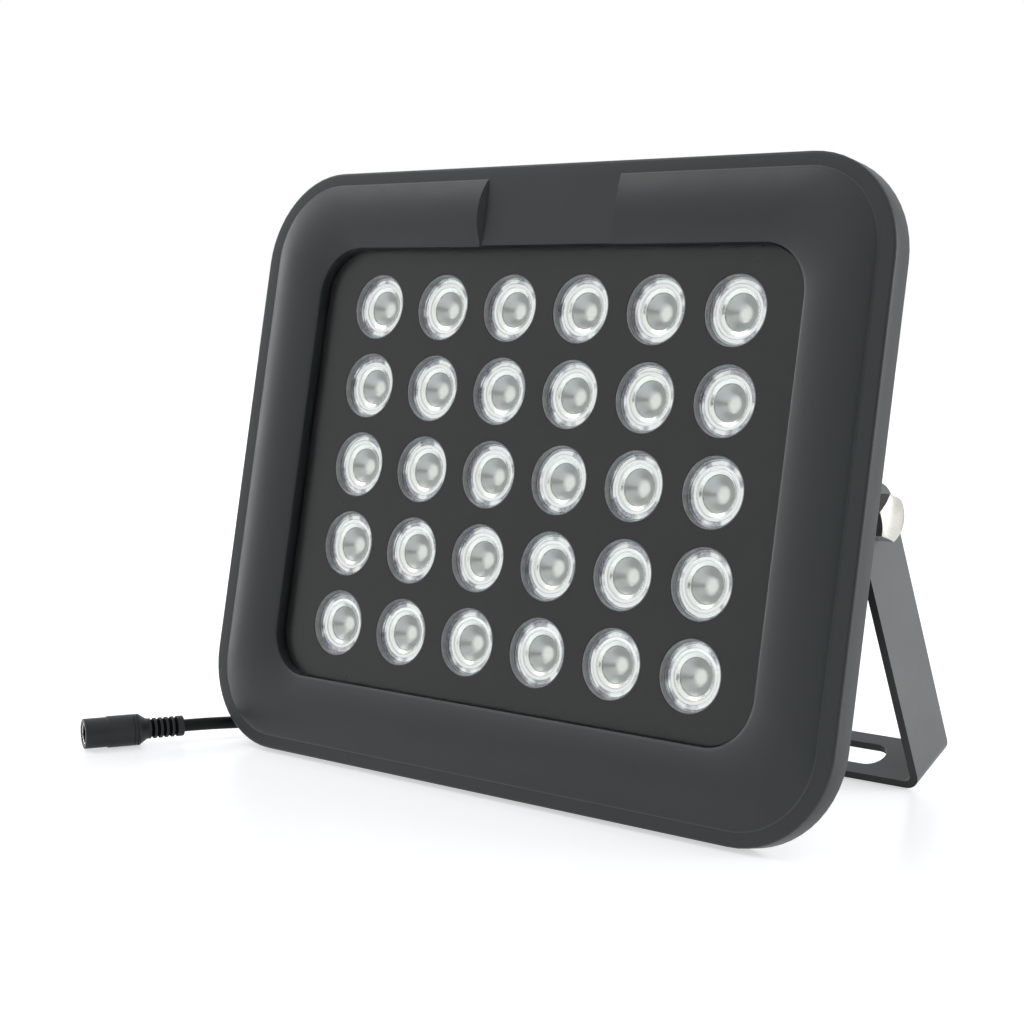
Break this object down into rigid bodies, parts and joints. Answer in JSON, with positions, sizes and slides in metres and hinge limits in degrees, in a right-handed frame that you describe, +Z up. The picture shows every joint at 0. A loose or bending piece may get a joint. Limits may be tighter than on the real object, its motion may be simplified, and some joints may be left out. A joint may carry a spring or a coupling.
{
  "type": "infrared illuminator",
  "caption": "Rectangular infrared flood lamp: a grid of lensed emitters behind glass in a cast frame, finned housing, folded swing bracket and a short supply cord with a socket.",
  "frame": {"origin": "on the standing surface, under the middle of the bounding box of the lamp without its cord", "axes": "+X to the right along the lamp's width, +Y to the back, away from the side that gives light, +Z up"},
  "size_m": [0.2702, 0.1721, 0.1826],
  "materials": {
    "cast_black": "powder coated, satin",
    "coated_steel": "powder coated, satin",
    "pane": "clear, polished",
    "mask_black": "matte",
    "seal_rubber": "matte",
    "lens_clear": "clear, polished",
    "board_white": "white coated",
    "emitter_yellow": "satin",
    "bare_aluminium": "satin",
    "zinc_steel": "plated",
    "stainless": "polished",
    "board_green": "satin",
    "ferrite": "matte",
    "capacitor_can": "gloss",
    "terminal_green": "satin",
    "lead_red": "satin",
    "cord_black": "satin",
    "socket_black": "satin",
    "plated_metal": "plated"
  },
  "bodies": {
    "head": {"front_frame": "cast_black", "rear_housing": "cast_black", "glass_pane": "pane", "mask_plate": "mask_black", "glass_seal": "seal_rubber", "housing_seal": "seal_rubber", "cord_boot": "seal_rubber", "led_board": "board_white", "led_emitters": "emitter_yellow", "heat_spreader": "bare_aluminium", "board_screws": "zinc_steel", "frame_screws": "zinc_steel", "driver_screws": "zinc_steel", "pivot_bolt_left": "stainless", "pivot_bolt_right": "stainless", "pivot_washer_left": "seal_rubber", "pivot_washer_right": "seal_rubber", "driver_board": "board_green", "driver_coil": "ferrite", "driver_capacitors": "capacitor_can", "terminal_block": "terminal_green", "supply_leads": "lead_red", "led_leads": "lead_red", "cord": "cord_black", "socket_body": "socket_black", "socket_sleeve": "plated_metal", "socket_pin": "plated_metal", "lens_1_1": "lens_clear", "lens_1_2": "lens_clear", "lens_1_3": "lens_clear", "lens_1_4": "lens_clear", "lens_1_5": "lens_clear", "lens_1_6": "lens_clear", "lens_2_1": "lens_clear", "lens_2_2": "lens_clear", "lens_2_3": "lens_clear", "lens_2_4": "lens_clear", "lens_2_5": "lens_clear", "lens_2_6": "lens_clear", "lens_3_1": "lens_clear", "lens_3_2": "lens_clear", "lens_3_3": "lens_clear", "lens_3_4": "lens_clear", "lens_3_5": "lens_clear", "lens_3_6": "lens_clear", "lens_4_1": "lens_clear", "lens_4_2": "lens_clear", "lens_4_3": "lens_clear", "lens_4_4": "lens_clear", "lens_4_5": "lens_clear", "lens_4_6": "lens_clear", "lens_5_1": "lens_clear", "lens_5_2": "lens_clear", "lens_5_3": "lens_clear", "lens_5_4": "lens_clear", "lens_5_5": "lens_clear", "lens_5_6": "lens_clear"},
    "bracket": {"bracket": "coated_steel"}
  },
  "joints": [
    {"name": "bracket_swing", "type": "hinge", "parent": "head", "child": "bracket", "pos_m": [0, 0.00868, 0.08311], "axis": [1, 0, 0], "range_deg": [-52, 159.5]}
  ]
}
